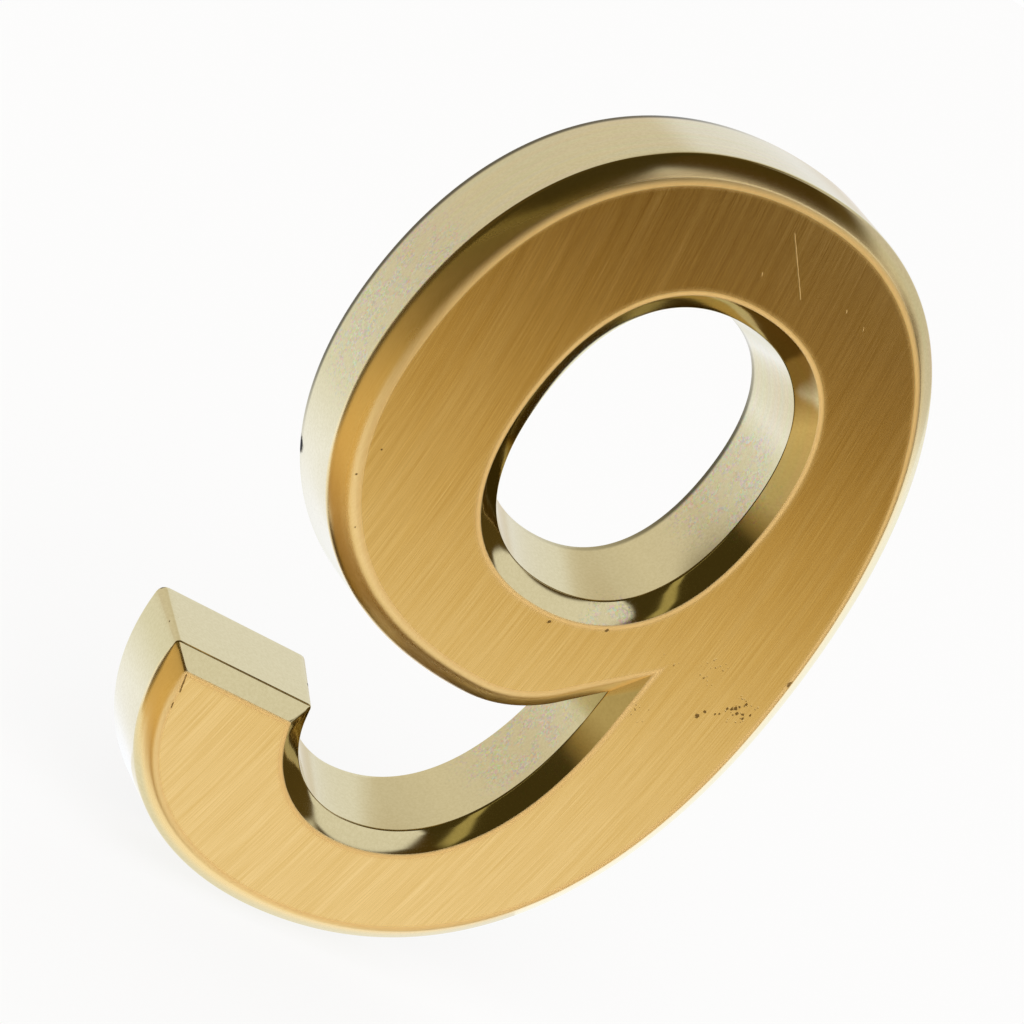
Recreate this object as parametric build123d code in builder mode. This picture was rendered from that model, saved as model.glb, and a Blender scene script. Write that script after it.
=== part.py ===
from build123d import *
import os
from math import asin, cos, degrees, radians, sin, tan

# A door number nine, moulded in one piece of plastic, upright as it hangs on a door.
# X is to the right and Z up for someone facing the door, and the front looks along -Y.
# The back rim lies on the door, in the plane Y = 0. Sizes are in millimetres and degrees.

# The outline at the back rim, measured from the centre of the bowl
bowl_radius = 23.3
bowl_left_drop = 0.9
stem_right = 24.3
stem_right_drop = 13.0
tail_bottom_left = 3.0
tail_stroke = 11.35
tip_left = 22.2
mouth_gap = 5.0
inlet_left = 1.7
inlet_radius = 7.05
stem_left = 9.4
stem_straight = 0.25
crotch_radius = 11.45
crotch_slope = 43.0

# How full the quarter curves are: 0.55 is an ellipse, and more is squarer
curve_fullness = 0.62
tail_fullness = 0.59
counter_fullness = 0.64

# The counter, the hole through the bowl, at the back rim
counter_half_width = 8.75
counter_half_height = 11.05

# The section through a stroke, from the back rim to the face
side_height = 6.4
bevel_width = 1.5
bevel_height = 1.2
face_edge_radius = 0.5
wall = 2.0
face_thickness = 2.0

# The draft of the sides, least at the top of the bowl and most in the counter
side_draft = 6.2
top_draft = 1.4
counter_draft = 9.3

# The origin is in the middle of the rim just under the counter
bowl_height = counter_half_height + wall / 2
back = Plane(origin=(0, 0, bowl_height), x_dir=(1, 0, 0), z_dir=(0, -1, 0))
depth = side_height + bevel_height
hollow_depth = depth - face_thickness
slope = radians(crotch_slope)

# The tail's tip starts a gap below the bowl, and the inlet and the tail's stroke follow below it
tip_drop = bowl_radius + mouth_gap
tail_bottom_drop = tip_drop + inlet_radius + tail_stroke

# The crotch, where the bowl's underside meets the stem, at the back rim
crotch_arc_rise = crotch_radius - crotch_radius * cos(slope)
crotch_line_rise = (stem_left - crotch_radius * sin(slope)) * tan(slope)
crotch_at_rim = crotch_arc_rise + crotch_line_rise - bowl_radius


def upright_to_level(start, end, fullness=curve_fullness):
    """A quarter curve that leaves its start upright and meets its end level."""
    rise = (end[1] - start[1]) * fullness
    across = (end[0] - start[0]) * fullness
    Bezier(start, (start[0], start[1] + rise), (end[0] - across, end[1]), end)


def level_to_upright(start, end, fullness=curve_fullness):
    """A quarter curve that leaves its start level and meets its end upright."""
    rise = (end[1] - start[1]) * fullness
    across = (end[0] - start[0]) * fullness
    Bezier(start, (start[0] + across, start[1]), (end[0], end[1] - rise), end)


def number_at(height, margin):
    """The nine on a plane in front of the back rim, with every edge drawn into the stroke.

    An edge is drawn in by the margin and by its draft, which ends where the sides do."""
    drafted = min(height, side_height)
    inset = margin + drafted * tan(radians(side_draft))
    top_inset = margin + drafted * tan(radians(top_draft))
    counter_inset = margin + drafted * tan(radians(counter_draft))

    bowl_left = (inset - bowl_radius, -bowl_left_drop)
    bowl_top = (0, bowl_radius - top_inset)
    bowl_bottom = (0, inset - bowl_radius)
    stem_side = (stem_right - inset, -stem_right_drop)
    tail_bottom = (-tail_bottom_left, inset - tail_bottom_drop)
    tip_level = -tip_drop - inset

    inlet_reach = inlet_radius + inset
    inlet_turn = degrees(asin(inset / inlet_reach))
    tip_inner = (-inlet_left - inlet_reach * cos(radians(inlet_turn)), tip_level)
    tip_outer = (inset - tip_left, tip_level)
    inlet_bottom = (-inlet_left, -tip_drop - inlet_reach)

    stem_inside = stem_left + inset
    crotch_reach = crotch_radius - inset
    crotch_arc_end = (crotch_reach * sin(slope), crotch_radius - bowl_radius - crotch_reach * cos(slope))
    crotch_rise = (stem_inside - crotch_arc_end[0]) * tan(slope)
    crotch = (stem_inside, crotch_arc_end[1] + crotch_rise)
    stem_foot = (stem_inside, crotch_at_rim - stem_straight)

    counter_side = counter_half_width + counter_inset
    counter_end = counter_half_height + counter_inset

    with BuildSketch(back.offset(height)) as number:
        with BuildLine():
            upright_to_level(bowl_left, bowl_top)
            level_to_upright(bowl_top, stem_side)
            upright_to_level(stem_side, tail_bottom)
            level_to_upright(tail_bottom, tip_outer, tail_fullness)
            Line(tip_outer, tip_inner)
            CenterArc((-inlet_left, -tip_drop), inlet_reach, 180 + inlet_turn, 90 - inlet_turn)
            level_to_upright(inlet_bottom, stem_foot)
            Line(stem_foot, crotch)
            Line(crotch, crotch_arc_end)
            TangentArc(bowl_bottom, crotch_arc_end, tangent=(1, 0))
            level_to_upright(bowl_bottom, bowl_left)
        make_face()
        with BuildLine():
            upright_to_level((-counter_side, 0), (0, counter_end), counter_fullness)
            level_to_upright((0, counter_end), (counter_side, 0), counter_fullness)
            upright_to_level((counter_side, 0), (0, -counter_end), counter_fullness)
            level_to_upright((0, -counter_end), (-counter_side, 0), counter_fullness)
        make_face(mode=Mode.SUBTRACT)
    return number.sketch


rim = number_at(0, 0)
arris = number_at(side_height, 0)
face = number_at(depth, bevel_width)

hollow_mouth = number_at(0, wall)
hollow_floor = number_at(hollow_depth, wall)

with BuildPart() as door_number:
    # Drafted sides up to the arris, then the bevel up to the face
    loft([rim, arris, face], ruled=True)
    # The brushing rubs the edge between the bevel and the face soft, all round and in the counter
    face_edges = door_number.faces().sort_by(Axis.Y)[0].edges()
    fillet(face_edges, face_edge_radius)
    # The back is cored out to an even wall, so that the plastic cools without sinking
    loft([hollow_mouth, hollow_floor], ruled=True, mode=Mode.SUBTRACT)

door_number.part.label = "door_number"
os.makedirs("parts", exist_ok=True)
export_step(door_number.part, "parts/door_number.step")
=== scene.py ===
from math import asin, ceil, cos, hypot, pi, radians, sin, tan

import bmesh
import bpy
from mathutils import Matrix, Vector


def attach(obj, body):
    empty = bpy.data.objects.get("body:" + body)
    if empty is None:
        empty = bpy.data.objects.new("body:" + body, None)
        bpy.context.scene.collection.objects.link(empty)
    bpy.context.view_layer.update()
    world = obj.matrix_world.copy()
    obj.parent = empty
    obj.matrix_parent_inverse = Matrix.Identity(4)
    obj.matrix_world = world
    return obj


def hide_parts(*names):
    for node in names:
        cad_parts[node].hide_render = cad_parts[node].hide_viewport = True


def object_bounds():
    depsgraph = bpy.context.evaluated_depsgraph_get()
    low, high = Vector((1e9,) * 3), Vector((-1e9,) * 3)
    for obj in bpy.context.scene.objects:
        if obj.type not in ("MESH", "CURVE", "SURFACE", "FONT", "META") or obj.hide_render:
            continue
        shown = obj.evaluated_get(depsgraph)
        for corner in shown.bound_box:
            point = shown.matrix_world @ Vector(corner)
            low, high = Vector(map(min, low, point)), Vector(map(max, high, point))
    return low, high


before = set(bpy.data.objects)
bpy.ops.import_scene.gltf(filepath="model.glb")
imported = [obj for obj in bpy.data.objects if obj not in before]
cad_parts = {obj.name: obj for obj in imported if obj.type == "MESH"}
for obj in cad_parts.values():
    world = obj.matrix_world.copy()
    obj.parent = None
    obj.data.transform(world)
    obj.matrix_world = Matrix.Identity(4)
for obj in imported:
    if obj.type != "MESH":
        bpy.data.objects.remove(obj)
cad_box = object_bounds()


# The number: one hollow shell of plastic, moulded with drafted sides and a bevel round its face.
# Its outline is drawn at the back rim, and every level nearer the front is drawn further into the stroke.
# The brushing rubbed its outer shoulder round at the left, and the inner edges are as crisp as the mould.
mm = 0.001
bowl_radius = 23.3
bowl_left_drop = 0.9
stem_right = 24.3
stem_right_drop = 13.0
tail_bottom_left = 3.0
tail_stroke = 11.35
tip_left = 22.2
mouth_gap = 5.0
inlet_left = 1.7
inlet_radius = 7.05
stem_left = 9.4
stem_straight = 0.25
crotch_radius = 11.45
crotch_slope = radians(43.0)
curve_fullness = 0.62
tail_fullness = 0.59
counter_fullness = 0.64
counter_half_width = 8.75
counter_half_height = 11.05
side_height = 6.4
side_draft = tan(radians(6.2))
top_draft = tan(radians(1.4))
counter_draft = tan(radians(9.3))
bevel_width = 1.5
bevel_height = 1.2
wall = 2.0
face_thickness = 2.0

depth = side_height + bevel_height
hollow_depth = depth - face_thickness
side_inset = side_height * side_draft
bowl_height = counter_half_height + wall / 2
tip_drop = bowl_radius + mouth_gap
tail_bottom_drop = tip_drop + inlet_radius + tail_stroke
crotch_line_rise = (stem_left - crotch_radius * sin(crotch_slope)) * tan(crotch_slope)
crotch_drop = bowl_radius - crotch_radius * (1 - cos(crotch_slope)) - crotch_line_rise


def cubic(start, start_pull, end_pull, end, t):
    """The point of a cubic curve that is t of the way along it."""
    s = 1 - t
    weights = (s ** 3, 3 * s * s * t, 3 * s * t * t, t ** 3)
    points = (start, start_pull, end_pull, end)
    return tuple(sum(w * p[axis] for w, p in zip(weights, points)) for axis in (0, 1))


def upright_to_level(start, end, t, fullness=curve_fullness):
    """A quarter curve that leaves its start upright and meets its end level."""
    rise = (end[1] - start[1]) * fullness
    across = (end[0] - start[0]) * fullness
    return cubic(start, (start[0], start[1] + rise), (end[0] - across, end[1]), end, t)


def level_to_upright(start, end, t, fullness=curve_fullness):
    """A quarter curve that leaves its start level and meets its end upright."""
    rise = (end[1] - start[1]) * fullness
    across = (end[0] - start[0]) * fullness
    return cubic(start, (start[0] + across, start[1]), (end[0], end[1] - rise), end, t)


def straight(start, end, t):
    return (start[0] + (end[0] - start[0]) * t, start[1] + (end[1] - start[1]) * t)


def part_of(edge, first, last):
    """The stretch of an edge between two shares of its way."""
    def stretch(t, inset, drafted):
        return edge(first + (last - first) * t, inset, drafted)
    return stretch


# The outline's turning points, drawn into the stroke by the inset
def bowl_left(inset):
    return (inset - bowl_radius, -bowl_left_drop)


def bowl_top(inset, drafted):
    return (0, bowl_radius - inset + drafted * (side_draft - top_draft))


def bowl_bottom(inset):
    return (0, inset - bowl_radius)


def stem_side(inset):
    return (stem_right - inset, -stem_right_drop)


def tail_bottom(inset):
    return (-tail_bottom_left, inset - tail_bottom_drop)


def stem_foot(inset):
    return (stem_left + inset, -crotch_drop - stem_straight)


def crotch(inset):
    arc_end = crotch_arc(0, inset)
    across = stem_left + inset - arc_end[0]
    return (stem_left + inset, arc_end[1] + across * tan(crotch_slope))


# The outline's edges in turn, each t of its way along. Drafted is the height over which the sides lean.
def bowl_shoulder(t, inset, drafted):
    return upright_to_level(bowl_left(inset), bowl_top(inset, drafted), t)


def bowl_to_stem(t, inset, drafted):
    return level_to_upright(bowl_top(inset, drafted), stem_side(inset), t)


def stem_to_tail(t, inset, drafted):
    return upright_to_level(stem_side(inset), tail_bottom(inset), t)


def tail_to_tip(t, inset, drafted):
    return level_to_upright(tail_bottom(inset), tip_outer_corner(0, inset), t, tail_fullness)


# The tip's two corners are round at the rim and sharpen to a mitre at the face
tip_corner_radius = 0.7
tip_corner_sharpening = 0.5
tip_mitre_radius = 0.16
tip_share = 0.1


def tip_radius(inset):
    return max(tip_mitre_radius, tip_corner_radius - tip_corner_sharpening * inset)


def tip_outer_corner(t, inset, drafted=0):
    radius = tip_radius(inset)
    angle = pi - pi / 2 * t
    return (inset - tip_left + radius * (1 + cos(angle)), -tip_drop - inset - radius * (1 - sin(angle)))


def tip_line(t, inset, drafted):
    return straight(tip_outer_corner(1, inset), tip_inner_corner(0, inset), t)


def tip_inner_corner(t, inset, drafted=0):
    radius = tip_radius(inset)
    angle = pi / 2 - pi / 2 * t
    corner = inlet_arc(0, inset)
    return (corner[0] - radius * (1 - cos(angle)), -tip_drop - inset - radius * (1 - sin(angle)))


def tip_to_inlet(t, inset, drafted):
    return straight(tip_inner_corner(1, inset), inlet_arc(tip_share, inset), t)


def inlet_arc(t, inset, drafted=0):
    reach = inlet_radius + inset
    turn = asin(inset / reach)
    angle = pi + turn + (pi / 2 - turn) * t
    return (-inlet_left + reach * cos(angle), -tip_drop + reach * sin(angle))


def inlet_to_stem(t, inset, drafted):
    return level_to_upright(inlet_arc(1, inset), stem_foot(inset), t)


def stem_inside(t, inset, drafted):
    return straight(stem_foot(inset), crotch(inset), t)


def crotch_line(t, inset, drafted):
    return straight(crotch(inset), crotch_arc(0, inset), t)


def crotch_arc(t, inset, drafted=0):
    angle = crotch_slope * (1 - t)
    reach = crotch_radius - inset
    return (reach * sin(angle), crotch_radius - bowl_radius - reach * cos(angle))


def bowl_underside(t, inset, drafted):
    return level_to_upright(bowl_bottom(inset), bowl_left(inset), t)


def counter_quarter(x_side, z_side, upright_first):
    def edge(t, inset, drafted):
        deeper = inset + drafted * (counter_draft - side_draft)
        side = (x_side * (counter_half_width + deeper), 0)
        end = (0, z_side * (counter_half_height + deeper))
        if upright_first:
            return upright_to_level(side, end, t, counter_fullness)
        return level_to_upright(end, side, t, counter_fullness)
    return edge


# Each edge with how soft and how brushed its bevel is at its start and its end
shoulder_polish_start = 0.35
tail_polish_end = 0.6
crisp = ((0.0, 0.0), (0.0, 0.0))
outer_edges = [
    (part_of(bowl_shoulder, 0, shoulder_polish_start), (1.0, 0.5), (0.65, 0.0)),
    (part_of(bowl_shoulder, shoulder_polish_start, 1), (0.5, 0.3), (0.0, 0.0)),
    (bowl_to_stem, (0.3, 0.2), (0.0, 0.0)),
    (stem_to_tail, (0.2, 0.5), (0.0, 0.0)),
    (part_of(tail_to_tip, 0, tail_polish_end), (0.5, 0.9), (0.0, 0.0)),
    (part_of(tail_to_tip, tail_polish_end, 1), (0.9, 1.0), (0.0, 0.75)),
    (tip_outer_corner, (0.0, 0.0), (0.6, 0.0)),
    (tip_line, *crisp),
    (tip_inner_corner, *crisp),
    (tip_to_inlet, *crisp),
    (part_of(inlet_arc, tip_share, 1), *crisp),
    (inlet_to_stem, *crisp),
    (stem_inside, *crisp),
    (crotch_line, (0.6, 0.8), (0.6, 0.6)),
    (crotch_arc, (0.8, 1.0), (0.6, 0.6)),
    (bowl_underside, (1.0, 1.0), (0.6, 0.6)),
]
counter_edges = [
    (counter_quarter(-1, 1, True), *crisp),
    (counter_quarter(1, 1, False), *crisp),
    (counter_quarter(1, -1, True), *crisp),
    (counter_quarter(-1, -1, False), *crisp),
]

point_spacing = 0.32
fewest_points = 3
measuring_steps = 40
soft_taper = 2.2


def blend(first, last, share):
    return first + (last - first) * share


def ring_stations(edges):
    """The points of a ring as (edge, place along it, softness, brushing), the last two from 0 to 1."""
    stations = []
    for edge, soft, brush in edges:
        fine = [edge(step / measuring_steps, 0, 0) for step in range(measuring_steps + 1)]
        length = sum(hypot(b[0] - a[0], b[1] - a[1]) for a, b in zip(fine, fine[1:]))
        count = max(fewest_points, ceil(length / point_spacing))
        for step in range(count):
            t = step / count
            stations.append((edge, t, blend(*soft, t), blend(*brush, t)))
    return stations


def tapered(stations):
    """The softness fades to nothing at a corner between a soft edge and a crisp one."""
    total = len(stations)
    crisp_at = [k for k in range(total) if stations[k][2] == 0]
    reach = soft_taper / point_spacing
    out = []
    for k, (edge, t, soft, brush) in enumerate(stations):
        share = min(1.0, min(min((k - c) % total, (c - k) % total) for c in crisp_at) / reach)
        out.append((edge, t, soft * share, brush))
    return out


arc_steps = 6


def rounded(before, corner, after, radius):
    """The points of an arc of that radius in a corner of the section."""
    a = Vector(before) - Vector(corner)
    b = Vector(after) - Vector(corner)
    half = a.angle(b) / 2
    a.normalize()
    b.normalize()
    centre = Vector(corner) + (a + b).normalized() * (radius / sin(half))
    start = Vector(corner) + a * (radius / tan(half)) - centre
    end = Vector(corner) + b * (radius / tan(half)) - centre
    turn = start.angle_signed(end)
    points = []
    for step in range(arc_steps + 1):
        angle = -turn * step / arc_steps
        x = start.x * cos(angle) - start.y * sin(angle)
        y = start.x * sin(angle) + start.y * cos(angle)
        points.append((centre.x + x, centre.y + y))
    return points


# The section's small roundings, each with its value on a crisp edge and on a soft one
crisp_arris_radius = 0.26
soft_arris_radius = 1.2
crisp_face_radius = 0.4
soft_face_radius = 1.6
crisp_crown = 0.008
soft_crown = 0.02
# The ridge values shape a painted highlight along the face edge: its width onto the face, its rise over the
# lip and its peak
crisp_ridge_width = 0.5
soft_ridge_width = 0.2
crisp_ridge_power = 0.4
soft_ridge_power = 3.0
soft_ridge_peak = 0.65
crisp_lip_power = 3
soft_lip_power = 1
lip_brushing = 0.6
ridge_glow = 0.5
ridge_steps = 3
bevel_steps = 4
rim_radius = 0.14
rim_line = 0.4
rim_fade = 0.65
# Brushed, hidden and rim mark the plating; the ridge highlight is a painted highlight along the face edge
finish_names = ("brushed", "hidden", "rim", "ridge")


def finish(**amounts):
    return {**dict.fromkeys(finish_names, 0.0), **amounts}


def section(soft, brush):
    """The section through the wall, from the hollow's floor round the rim to the face.

    Each point is (inset, height) with how far it is brushed, hidden, on the rim or in the painted ridge
    highlight."""
    floor_edge = (wall + hollow_depth * side_draft, hollow_depth)
    mouth = (wall, 0)
    foot = (0, 0)
    arris = (side_inset, side_height)
    face_edge = (side_inset + bevel_width, depth)
    on_face = (face_edge[0] + wall, depth)

    points = [(floor_edge, finish(hidden=1.0))]
    points += [(p, finish(hidden=1.0, rim=1.0)) for p in rounded(floor_edge, mouth, foot, rim_radius)]
    points += [(p, finish(rim=1.0)) for p in rounded(mouth, foot, arris, rim_radius)]
    points.append(((rim_line * side_draft, rim_line), finish(rim=1.0)))
    points.append(((rim_fade * side_draft, rim_fade), finish()))

    shoulder = rounded(foot, arris, face_edge, blend(crisp_arris_radius, soft_arris_radius, soft))
    points += [(p, finish(brushed=brush * k / arc_steps)) for k, p in enumerate(shoulder)]

    lip = rounded(arris, face_edge, on_face, blend(crisp_face_radius, soft_face_radius, soft))
    lip_power = blend(crisp_lip_power, soft_lip_power, soft)
    crown = blend(crisp_crown, soft_crown, soft)
    start = Vector(shoulder[-1])
    run = Vector(lip[0]) - start
    outward = Vector((-run.y, run.x)).normalized()
    for step in range(1, bevel_steps):
        s = step / bevel_steps
        p = start + run * s + outward * (crown * 4 * s * (1 - s))
        points.append((tuple(p), finish(brushed=blend(brush, 1, lip_brushing * soft * s ** lip_power))))

    # The lip is painted with the ridge highlight, rising towards the face
    ridge_power = blend(crisp_ridge_power, soft_ridge_power, soft)
    ridge_peak = blend(1, soft_ridge_peak, soft)
    for k, p in enumerate(lip):
        s = k / arc_steps
        brushed_here = max(blend(brush, 1, lip_brushing * soft), s)
        points.append((p, finish(brushed=brushed_here, ridge=ridge_peak * s ** ridge_power)))

    # The painted ridge highlight fades out over a strip of the face beyond the lip
    ridge_width = blend(crisp_ridge_width, soft_ridge_width, soft)
    for step in range(1, ridge_steps + 1):
        s = step / ridge_steps
        p = (lip[-1][0] + ridge_width * s, depth)
        points.append((p, finish(brushed=1.0, ridge=ridge_glow * (1 - s) ** 2)))
    return points


shell = bmesh.new()
finish_layers = {name: shell.verts.layers.float.new(name) for name in finish_names}


def add_ring(stations):
    """Builds the band that one closed outline makes, and returns its hollow and face boundaries."""
    columns = []
    for edge, t, soft, brush in stations:
        column = []
        for (inset, height), amounts in section(soft, brush):
            x, z = edge(t, inset, min(height, side_height))
            vert = shell.verts.new((x * mm, -height * mm, (z + bowl_height) * mm))
            for name, amount in amounts.items():
                vert[finish_layers[name]] = amount
            column.append(vert)
        columns.append(column)
    neighbours = list(zip(columns, columns[1:] + columns[:1]))
    for left, right in neighbours:
        for k in range(len(left) - 1):
            shell.faces.new((left[k], left[k + 1], right[k + 1], right[k]))
    shell.edges.ensure_lookup_table()
    floors = [shell.edges.get((left[0], right[0])) for left, right in neighbours]
    faces = [shell.edges.get((left[-1], right[-1])) for left, right in neighbours]
    return floors, faces


outer_floor, outer_face = add_ring(tapered(ring_stations(outer_edges)))
counter_floor, counter_face = add_ring(ring_stations(counter_edges))
for loops, side in ((outer_floor + counter_floor, 1), (outer_face + counter_face, -1)):
    bmesh.ops.triangle_fill(shell, edges=loops, use_beauty=True, normal=(0, side, 0))
bmesh.ops.recalc_face_normals(shell, faces=shell.faces[:])
sharp_angle = radians(24)
number_mesh = bpy.data.meshes.new("number_nine")
shell.to_mesh(number_mesh)
shell.free()
number_mesh.shade_smooth()
number_mesh.set_sharp_from_angle(angle=sharp_angle)
number_nine = bpy.data.objects.new("number_nine", number_mesh)
bpy.context.collection.objects.link(number_nine)
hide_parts("door_number")
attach(number_nine, "root")


# The plating: a thin film of gold over bright nickel, laid on the whole shell.
# The sides and most bevels are left as bright as the mould, and the face is brushed to a hairline.
# The hollow behind is plated as well, but never polished.
class Shade:
    """One output of a shader node, so that arithmetic on it adds the nodes for it."""

    def __init__(self, tree, socket):
        self.tree = tree
        self.socket = socket

    def node(self, kind, settings=None, inputs=None, output=0):
        """Any node, by its type, its settings, and the values or links of its sockets."""
        made = self.tree.nodes.new(kind)
        for name, value in (settings or {}).items():
            if name == "stops":
                ramp = made.color_ramp.elements
                for k, (position, colour) in enumerate(value):
                    stop = ramp[k] if k < len(ramp) else ramp.new(position)
                    stop.position = position
                    stop.color = colour
            else:
                setattr(made, name, value)
        for name, value in (inputs or {}).items():
            target = made.inputs[name]
            if isinstance(value, Shade):
                self.tree.links.new(value.socket, target)
            else:
                target.default_value = value
        return Shade(self.tree, made.outputs[output])

    def math(self, operation, a, b=0.0):
        return self.node("ShaderNodeMath", {"operation": operation}, {0: a, 1: b})

    def __add__(self, other):
        return self.math("ADD", self, other)

    def __radd__(self, other):
        return self.math("ADD", other, self)

    def __sub__(self, other):
        return self.math("SUBTRACT", self, other)

    def __rsub__(self, other):
        return self.math("SUBTRACT", other, self)

    def __mul__(self, other):
        return self.math("MULTIPLY", self, other)

    def __rmul__(self, other):
        return self.math("MULTIPLY", other, self)

    def __truediv__(self, other):
        return self.math("DIVIDE", self, other)

    def smooth(self, low, high):
        """0 below low, 1 above high, and a smooth step between them."""
        return self.node("ShaderNodeMapRange", {"interpolation_type": "SMOOTHSTEP"},
                         {"Value": self, "From Min": low, "From Max": high})

    def mix(self, first, second):
        """A colour between two colours, by this mask."""
        return self.node("ShaderNodeMix", {"data_type": "RGBA"}, {0: self, 6: first, 7: second}, 2)

    def vector(self, operation, inputs, output=0):
        return self.node("ShaderNodeVectorMath", {"operation": operation}, inputs, output)

    def axes(self):
        """The three parts of this vector."""
        return [self.node("ShaderNodeSeparateXYZ", None, {0: self}, axis) for axis in range(3)]


plating = bpy.data.materials.new("gold_plating")
plating.use_nodes = True
tree = plating.node_tree
shader = tree.nodes["Principled BSDF"]
kit = Shade(tree, None)

place = kit.node("ShaderNodeTexCoord", output=3)
point = kit.vector("SCALE", {0: place, "Scale": 1 / mm})
x, y, z = (part / mm for part in place.axes())
brushed, hidden, rim, ridge = (
    kit.node("ShaderNodeAttribute", {"attribute_name": name}, output=2) for name in finish_names
)

# The brush swung a little as it passed, so the hairlines lean left on the bowl and right on the tail
lean = 0.0167
swing = 0.00347
across_brush = x + lean * z + swing * (z * z)


def noise(vector, scale, detail, output=0):
    return kit.node("ShaderNodeTexNoise", None, {"Vector": vector, "Scale": scale, "Detail": detail}, output)


def hairlines(width, length, detail):
    """Streaks of that width and length in millimetres, from 0 to 1."""
    lines = kit.node("ShaderNodeCombineXYZ", None, {0: across_brush / width, 1: y / width, 2: z / length})
    inputs = {"Vector": lines, "Scale": 1.0, "Detail": detail, "Roughness": 0.6}
    return kit.node("ShaderNodeTexNoise", None, inputs)


fine_lines = hairlines(0.05, 6.0, 2.0)
long_lines = hairlines(0.22, 18.0, 2.0)
broad_lines = hairlines(1.1, 30.0, 1.0)
cloudy = noise(point, 0.9, 3.0)
ragged = noise(point, 4.5, 2.0)


def around(centre, radius, waver=0.0):
    """1 near a point of the number, in millimetres, falling to 0 at the radius with a ragged edge."""
    core = 0.55 * radius
    gap = kit.vector("DISTANCE", {0: point, 1: centre}, 1)
    return 1 - (gap + waver * (ragged - 0.5)).smooth(core, radius)


def either(masks):
    """The strongest of several masks."""
    out = masks[0]
    for mask in masks[1:]:
        out = kit.math("MAXIMUM", out, mask)
    return out


# Wear on the face, as (x, z, radius): small pits through the gold, and patches of finer ones
face_front = -depth
pits = [
    (17.03, -2.98, 0.21), (17.35, -2.45, 0.14), (18.2, -2.25, 0.10), (18.55, -2.05, 0.09),
    (18.8, -1.35, 0.12), (19.1, -1.2, 0.15), (19.4, -1.0, 0.19), (19.6, -0.75, 0.13),
    (19.95, -0.35, 0.11), (19.75, -1.3, 0.14), (20.25, -1.15, 0.11), (20.89, -0.94, 0.11),
    (20.5, -1.5, 0.09), (21.97, 2.75, 0.36), (1.36, -2.03, 0.16), (5.76, -0.52, 0.15),
    (-18.57, 0.68, 0.06), (-16.13, -2.79, 0.05), (-18.19, 3.17, 0.04),
]
pit_waver = 0.35
pitted = either([around((px, face_front, pz), size, pit_waver) for px, pz, size in pits])
patches = [(15.66, 0.65, 1.3), (12.61, -5.01, 1.2), (11.77, -0.24, 1.0), (19.9, -1.0, 1.6)]
patch_waver = 0.6
speck_cells = kit.node("ShaderNodeTexVoronoi", None, {"Vector": point, "Scale": 3.2})
specks = (1 - speck_cells.smooth(0.16, 0.30)) * cloudy.smooth(0.45, 0.55)
patched = either([around((px, face_front, pz), size, patch_waver) for px, pz, size in patches]) * specks


def scratch(start, end, width):
    """A fine line on the surface between two points of the number."""
    core = 0.4 * width
    waver = 0.08
    along = Vector(end) - Vector(start)
    away = kit.vector("SUBTRACT", {0: point, 1: start})
    share = kit.vector("DOT_PRODUCT", {0: away, 1: along / along.length_squared}, 1)
    share = kit.node("ShaderNodeClamp", None, {"Value": share})
    nearest = kit.vector("SCALE", {0: tuple(along), "Scale": share})
    gap = kit.vector("DISTANCE", {0: away, 1: nearest}, 1)
    return 1 - (gap + waver * (ragged - 0.5)).smooth(core, width)


bright_scratches = either([
    scratch((-2.5, face_front, 31.66), (1.23, face_front, 28.02), 0.05),
    scratch((-2.62, face_front, 28.1), (-2.5, face_front, 27.9), 0.07),
    scratch((4.85, face_front, 29.15), (4.97, face_front, 29.0), 0.06),
    scratch((6.9, face_front, 28.8), (7.0, face_front, 28.6), 0.05),
])
dark_scratches = either([
    scratch((-19.85, face_front, -18.6), (-19.45, face_front, -20.0), 0.07),
    scratch((-19.35, face_front, -21.0), (-19.25, face_front, -21.4), 0.06),
])
# A dent at the tip's corner, dented in the bump and darkened below as a painted shade in its crease
tip_dent = scratch((-21.75, -4.05, -17.0), (-21.1, -3.55, -16.68), 0.07)
nicked = either([
    around((-20.1, 0.0, -1.75), 0.95, 0.5),
    around((-22.2, 0.0, -16.25), 0.5, 0.2),
    around((-9.2, -3.6, -16.7), 0.3, 0.2),
])

# A faint painted highlight glitter of coloured grains on the sides, where they mirror a bright light, and
# long streaks in the film
glitter_places = [
    ((-22.7, -4.6, 11.7), 9.0), ((9.4, -2.1, 12.6), 6.5),
    ((9.0, -1.5, -12.8), 7.0), ((5.9, -7.2, -0.2), 2.5),
]
glitter_waver = 4.0
highlight_glitter = either([around(centre, size, glitter_waver) for centre, size in glitter_places]) * (1 - brushed)
glitter_grains = kit.node("ShaderNodeTexVoronoi", None, {"Vector": point, "Scale": 6.0}, 1)
streak_length = 9.0
streak_width = 0.45
along_side = kit.node("ShaderNodeCombineXYZ", None,
                      {0: x / streak_length, 1: y / streak_width, 2: z / streak_length})
film_streaks = noise(along_side, 1.0, 1.0, 1)

polished_gold = (0.68, 0.60, 0.355, 1.0)
clouded_gold = (0.63, 0.55, 0.315, 1.0)
brushed_dark = (0.74, 0.50, 0.165, 1.0)
brushed_pale = (0.88, 0.64, 0.265, 1.0)
pit_and_dent_shade_brown = (0.26, 0.15, 0.04, 1.0)
scratch_gold = (0.98, 0.72, 0.34, 1.0)
ridge_gold = (0.97, 0.64, 0.24, 1.0)
satin_gold = (1.0, 0.74, 0.33, 1.0)
rim_olive = (0.022, 0.018, 0.006, 1.0)
bare_plastic = (0.03, 0.03, 0.03, 1.0)
hidden_gold = (0.50, 0.43, 0.25, 1.0)

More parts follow.
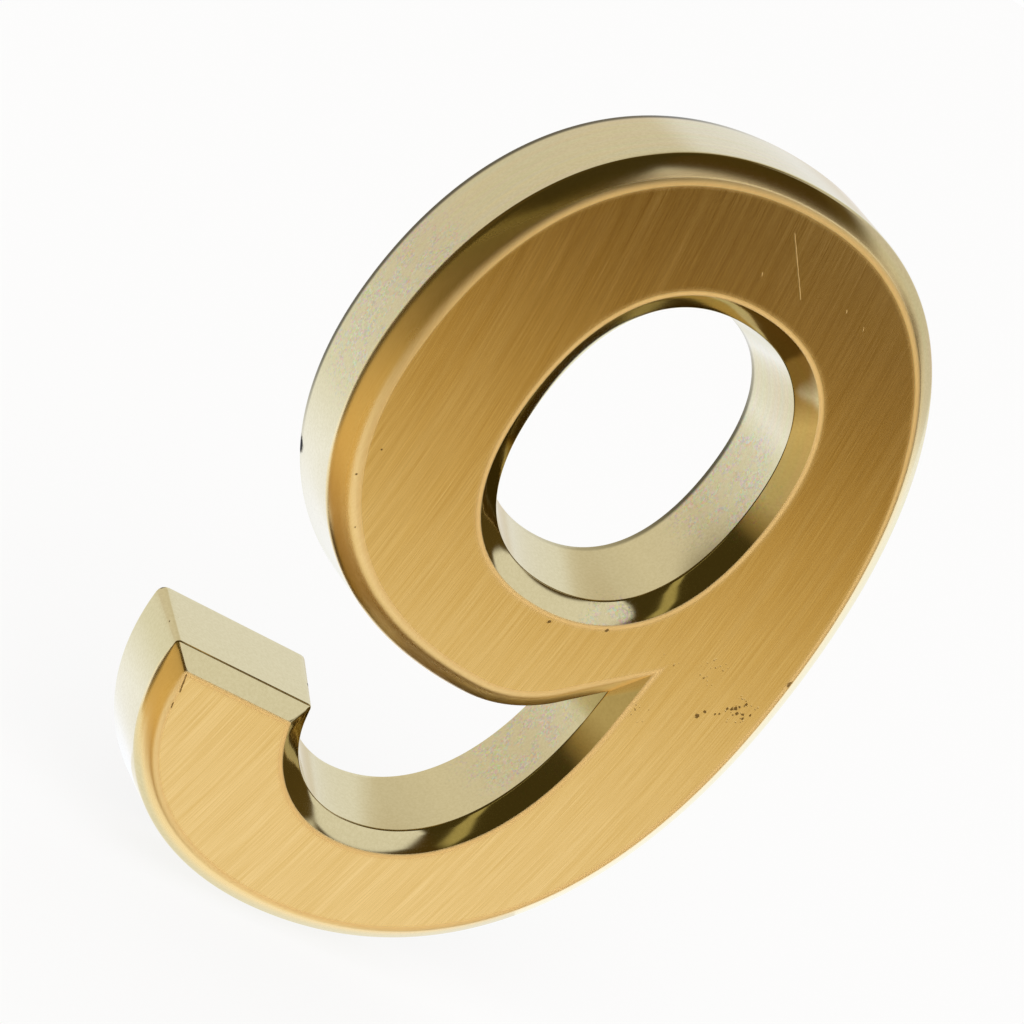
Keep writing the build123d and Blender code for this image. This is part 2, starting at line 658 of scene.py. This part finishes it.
# Half-brushed gold is satin: warmer and rougher than both the polished gold and the brushed
satin = 4 * brushed * (1 - brushed)
streaks = (fine_lines * 0.62 + long_lines * 0.25 + broad_lines * 0.13).smooth(0.34, 0.66)
face_colour = streaks.mix(brushed_dark, brushed_pale)
side_colour = ragged.smooth(0.25, 0.75).mix(clouded_gold, polished_gold)
side_colour = (0.08 * z.smooth(4.0, 20.0)).mix(side_colour, film_streaks)
# The painted highlight glitter: coloured grains mixed into the sides at those places
side_colour = (0.2 * highlight_glitter * cloudy.smooth(0.35, 0.6)).mix(side_colour, glitter_grains)
colour = brushed.mix(side_colour, face_colour)
colour = (0.6 * satin).mix(colour, satin_gold)
# The ridge along the face edge is painted pale orange as a highlight, rougher so that it stays bright
colour = (0.85 * ridge).mix(colour, ridge_gold)
colour = (0.55 * bright_scratches).mix(colour, scratch_gold)
colour = hidden.mix(colour, hidden_gold)

# The rim is painted dark olive at the left of the bowl and at the right of the counter
left_rim = (1 - x.smooth(-12.0, -3.0)) * z.smooth(-4.0, 6.0)
counter_rim = around((1.5, 0.0, bowl_height), 13.0) * x.smooth(-5.0, 3.0)
dark_rim = rim * (1 - hidden) * either([left_rim, counter_rim])
colour = (0.85 * dark_rim).mix(colour, rim_olive)

face_wear = either([pitted, 0.6 * patched, dark_scratches]) * brushed.smooth(0.3, 0.6)
# The pits' brown is real wear on the face and painted shade in the tip's dent
wear_and_dent_shade = either([face_wear, 0.6 * tip_dent])
colour = (0.9 * wear_and_dent_shade).mix(colour, pit_and_dent_shade_brown)
colour = nicked.mix(colour, bare_plastic)

# How much rougher each finish is than the polished gold
polished_roughness = 0.07
grain = brushed * (0.05 * (broad_lines - 0.5)) + 0.05 * highlight_glitter
rough = polished_roughness + grain
rougher = [(brushed, 0.11), (satin, 0.2), (hidden, 0.3), (ridge, 0.3), (wear_and_dent_shade, 0.3), (nicked, 0.6)]
for mask, extra in rougher:
    rough = rough + extra * mask
# The painted ridge highlight is less metallic, so that it shows its pale colour in any light
metal = 1 - 0.7 * ridge

hairline_depth = 0.02 * mm
relief = (0.6 * fine_lines + 0.4 * long_lines) * brushed - 2.5 * wear_and_dent_shade - 1.5 * bright_scratches
bump = kit.node("ShaderNodeBump", None, {"Strength": 0.6, "Distance": hairline_depth, "Height": relief})

tree.links.new(colour.socket, shader.inputs["Base Color"])
tree.links.new(rough.socket, shader.inputs["Roughness"])
tree.links.new(bump.socket, shader.inputs["Normal"])
tree.links.new(metal.socket, shader.inputs["Metallic"])
number_mesh.materials.append(plating)


# The floor is a plain sheet of white card that the number stands on, and it keeps the shadow.
# The camera sees it run on into a white room, and the metal doesn't mirror it.
floor_half = 20.0
low = cad_box[0][2]
white = (1.0, 1.0, 1.0, 1.0)


def flat_card(name, left, right, front, back, level):
    """A level sheet of card, as an object with one face."""
    sheet = bpy.data.meshes.new(name)
    corners = [(left, front, level), (right, front, level), (right, back, level), (left, back, level)]
    sheet.from_pydata(corners, [], [(0, 1, 2, 3)])
    card = bpy.data.objects.new(name, sheet)
    bpy.context.collection.objects.link(card)
    return card


floor = flat_card("floor", -floor_half, floor_half, -floor_half, floor_half, low)
floor.visible_glossy = False

white_card = bpy.data.materials.new("white_card")
white_card.use_nodes = True
tree = white_card.node_tree
kit = Shade(tree, None)
paper = tree.nodes["Principled BSDF"]
paper.inputs["Base Color"].default_value = (0.9, 0.9, 0.9, 1.0)
paper.inputs["Roughness"].default_value = 0.9
paper.inputs["Specular IOR Level"].default_value = 0.0
lit = Shade(tree, paper.outputs[0])
seen = kit.node("ShaderNodeLightPath", output=0)
glow = kit.node("ShaderNodeEmission", None, {"Color": white, "Strength": 1.0})
glow_share = 0.85
both = kit.node("ShaderNodeMixShader", None, {0: seen * glow_share, 1: lit, 2: glow})
tree.links.new(both.socket, tree.nodes["Material Output"].inputs[0])
floor.data.materials.append(white_card)


# A narrow strip of the same white card lies just under the number.
# The number's lower bevels mirror it, and the camera never sees it.
strip_half = 30.0 * mm
strip_front = -8.8 * mm
strip_back = 4.0 * mm
strip_level = low - 0.1 * mm
strip = flat_card("under_strip", -strip_half, strip_half, strip_front, strip_back, strip_level)
strip.visible_camera = False
strip.visible_diffuse = False
strip.visible_shadow = False

strip_card = bpy.data.materials.new("under_strip_card")
strip_card.use_nodes = True
tree = strip_card.node_tree
kit = Shade(tree, None)
strip_glow = kit.node("ShaderNodeEmission", None, {"Color": white, "Strength": 1.08})
tree.links.new(strip_glow.socket, tree.nodes["Material Output"].inputs[0])
strip.data.materials.append(strip_card)


# Soft light: a white room behind and below, and a dim warm room on the side of the camera.
# In the dim room hang one soft panel and a few white cards, and a paler gap shows to the left.
# The camera itself sees plain white all round.
world = bpy.data.worlds.new("studio")
bpy.context.scene.world = world
world.use_nodes = True
tree = world.node_tree
kit = Shade(tree, None)
ray_x, ray_y, ray_z = kit.node("ShaderNodeTexCoord", output=0).axes()
degrees_per_radian = 180 / pi
bearing = kit.math("ARCTAN2", ray_x, 0 - ray_y) * degrees_per_radian
elevation = kit.math("ARCSINE", ray_z) * degrees_per_radian


def between(angle, least, most, blur):
    """1 for an angle between the least and the most, fading over the blur at either side."""
    half = blur / 2
    return angle.smooth(least - half, least + half) * (1 - angle.smooth(most - half, most + half))


def by_height(angle, stops):
    """A colour for each angle above the floor in degrees, blended between the stops."""
    places = [((height + 90) / 180, (*tint, 1.0)) for height, tint in stops]
    return kit.node("ShaderNodeValToRGB", {"stops": places}, {"Fac": (angle + 90) / 180})


# Bearings are from the front of the number, to its right, and elevations from the floor's horizon.
# On the camera's side a pale table reaches up to an edge that rises to the right.
table_edge = elevation + 1 - 4.1 * bearing.smooth(25, 41)
front_left = by_height(elevation, [
    (-80, (0.26, 0.15, 0.04)), (-70, (0.34, 0.19, 0.05)), (-58, (0.50, 0.33, 0.13)),
    (-45, (0.84, 0.63, 0.30)), (-17, (0.66, 0.53, 0.28)), (-12, (0.36, 0.25, 0.09)),
    (-8.5, (0.065, 0.047, 0.012)),
])
front_middle = by_height(table_edge, [
    (-66, (0.30, 0.18, 0.05)), (-54, (1.0, 0.96, 0.86)), (-22, (1.05, 1.06, 1.18)),
    (-18.5, (0.94, 0.88, 0.72)), (-16, (0.78, 0.67, 0.40)), (-13.5, (0.66, 0.49, 0.19)),
    (-11.5, (0.40, 0.27, 0.085)), (-9, (0.14, 0.08, 0.02)), (-6, (0.085, 0.048, 0.009)),
    (25, (0.085, 0.052, 0.011)),
])
front_right = by_height(elevation, [
    (-50, (0.12, 0.065, 0.012)), (-40, (0.35, 0.24, 0.09)), (-30, (0.60, 0.44, 0.18)),
    (-14, (0.55, 0.42, 0.20)), (-7, (0.16, 0.10, 0.03)), (0, (0.09, 0.06, 0.015)),
    (72, (0.14, 0.09, 0.022)),
])
behind = by_height(elevation, [
    (-66, (0.07, 0.045, 0.012)), (-54, (1.0, 1.0, 1.0)), (-37, (1.22, 1.30, 1.60)),
    (-26, (1.02, 1.05, 1.08)), (-3, (0.88, 0.84, 0.80)), (33, (0.90, 0.86, 0.80)),
    (50, (0.84, 0.80, 0.74)), (62, (0.70, 0.62, 0.50)), (70, (0.12, 0.08, 0.02)),
])
dim_wall = (0.09, 0.06, 0.015, 1.0)
dim_floor = (0.12, 0.065, 0.012, 1.0)
window_white = (1.02, 1.05, 1.15, 1.0)
strip_white = (0.78, 0.75, 0.68, 1.0)
side_white = (1.25, 1.30, 1.40, 1.0)
panel_white = (0.98, 0.98, 1.0, 1.0)
high_white = (0.84, 0.80, 0.74, 1.0)
gap_olive = (0.50, 0.42, 0.17, 1.0)

front = bearing.smooth(-25, -15).mix(front_left, front_middle)
front = bearing.smooth(57, 63).mix(front, front_right)
far_left = between(bearing, -125, -84, 16) * elevation.smooth(-48, -34)
front = far_left.mix(front, dim_wall)
far_low = bearing.smooth(34, 46) * (1 - elevation.smooth(-52, -44))
front = far_low.mix(front, dim_floor)
room = between(bearing, -122, 91, 5).mix(behind, front)

back_window = between(bearing, 120, 174, 12) * between(elevation, 10, 46, 10)
room = back_window.mix(room, window_white)
side_strip = between(bearing, 31, 60, 7) * between(elevation, -3, 34, 6)
room = side_strip.mix(room, strip_white)
side_card = between(bearing, 100, 130, 8) * between(elevation, -50, 8, 10)
room = side_card.mix(room, side_white)

# The panel's long edges are straight, so they are heights towards its own bearing
panel_facing = radians(15)
towards_panel = ray_x * sin(panel_facing) - ray_y * cos(panel_facing)
panel_height = kit.math("ARCTAN2", ray_z, towards_panel) * degrees_per_radian
panel = between(bearing, -20, 78, 4) * between(panel_height, 43.4, 56, 1.5)
room = panel.mix(room, panel_white)
high_card = between(bearing, 72, 105, 14) * between(panel_height, 58.5, 85.0, 2)
room = high_card.mix(room, high_white)

# The gap rises to the right
gap_rise = 0.65
gap_bearing = -49
gap_height = elevation - gap_rise * (bearing - gap_bearing)
gap = between(bearing, -72, -22, 8) * between(gap_height, 9.5, 14, 1.2)
room = gap.mix(room, gap_olive)
camera_ray = kit.node("ShaderNodeLightPath", output=0)
sky = camera_ray.mix(room, white)
tree.links.new(sky.socket, tree.nodes["Background"].inputs[0])

lamp = bpy.data.lights.new("overhead_light", "SUN")
lamp.angle = radians(70)
lamp.energy = 2.0
overhead = bpy.data.objects.new("overhead_light", lamp)
overhead.location = (-0.3, -0.8, 1.1)
overhead.rotation_euler = (Vector((0, 0, 0)) - overhead.location).to_track_quat("-Z", "Y").to_euler()
overhead.visible_glossy = False
bpy.context.collection.objects.link(overhead)


# The camera looks from the left and above, close to the number and rolled, as the photograph was taken.
# Its place and its lens were fitted to the number's edges in the picture.
camera_place = Vector((-0.10271, -0.17491, 0.05394))
looking = Vector((0.4813, 0.8398, -0.2513))
upward = Vector((-0.4308, 0.4763, 0.7665))
rightward = looking.cross(upward).normalized()
upward = rightward.cross(looking).normalized()
camera_data = bpy.data.cameras.new("camera")
camera_data.sensor_width = 36.0
camera_data.lens = 97.87
camera_data.clip_start = 0.01
camera = bpy.data.objects.new("camera", camera_data)
camera_turn = Matrix((rightward, upward, -looking.normalized())).transposed().to_4x4()
camera.matrix_world = Matrix.Translation(camera_place) @ camera_turn
bpy.context.collection.objects.link(camera)
bpy.context.scene.camera = camera
bpy.context.scene.view_settings.view_transform = "Standard"
